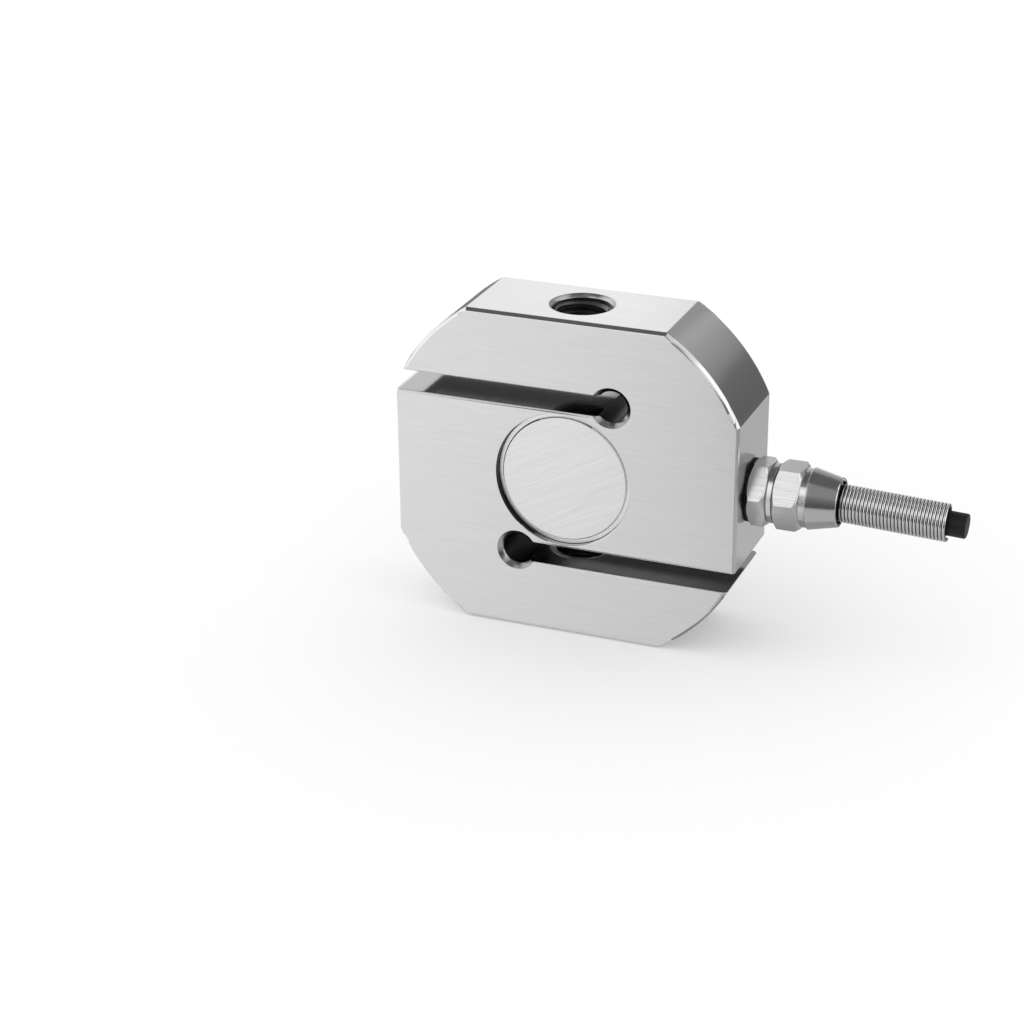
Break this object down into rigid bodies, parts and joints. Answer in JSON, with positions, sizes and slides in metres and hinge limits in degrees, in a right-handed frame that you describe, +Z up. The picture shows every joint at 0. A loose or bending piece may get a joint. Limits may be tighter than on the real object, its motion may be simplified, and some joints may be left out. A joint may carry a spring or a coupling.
{
  "type": "s type load cell",
  "caption": "Slotted stainless block with tapped ends, welded gauge pocket and a sprung cable gland, for weighing in tension or compression.",
  "frame": {"origin": "middle of the base flat, on the load axis at the lower tapped hole's mouth plane", "axes": "+Z up the load axis, -Y out of the front face with its cover, +X along the cable"},
  "size_m": [0.1167, 0.022, 0.068],
  "materials": {
    "machined_stainless": "finely ground, grain along the width",
    "cover_stainless": "brushed one way",
    "turned_stainless": "turned, bright",
    "spring_steel": "drawn wire, bright",
    "black_rubber": "matt moulded",
    "jacket_black": "satin extruded",
    "tinned_braid": "braided wire",
    "copper": "bare wire",
    "insulation_red": "extruded",
    "insulation_black": "extruded",
    "insulation_green": "extruded",
    "insulation_white": "extruded",
    "gauge_foil": "amber film with etched foil",
    "board_green": "lacquered laminate",
    "solder": "bright solder",
    "chip_ceramic": "fired",
    "potting_resin": "cast"
  },
  "bodies": {
    "root": {"elastic_body": "machined_stainless", "front_cover": "cover_stainless", "rear_cover": "cover_stainless", "front_gauge": "gauge_foil", "rear_gauge": "gauge_foil", "terminal_board": "board_green", "solder_terminals": "solder", "zero_trim_resistor": "chip_ceramic", "span_resistor": "chip_ceramic", "front_gauge_leads": "copper", "rear_gauge_leads": "copper", "entry_potting": "potting_resin", "core_red": "insulation_red", "core_black": "insulation_black", "core_green": "insulation_green", "core_white": "insulation_white", "core_conductors": "copper", "cable_shield": "tinned_braid", "cable_jacket": "jacket_black", "gland_o_ring": "black_rubber", "gland_body": "turned_stainless", "seal_bush": "black_rubber", "clamp_washer": "turned_stainless", "gland_nut": "turned_stainless", "relief_spring": "spring_steel"}
  },
  "joints": []
}
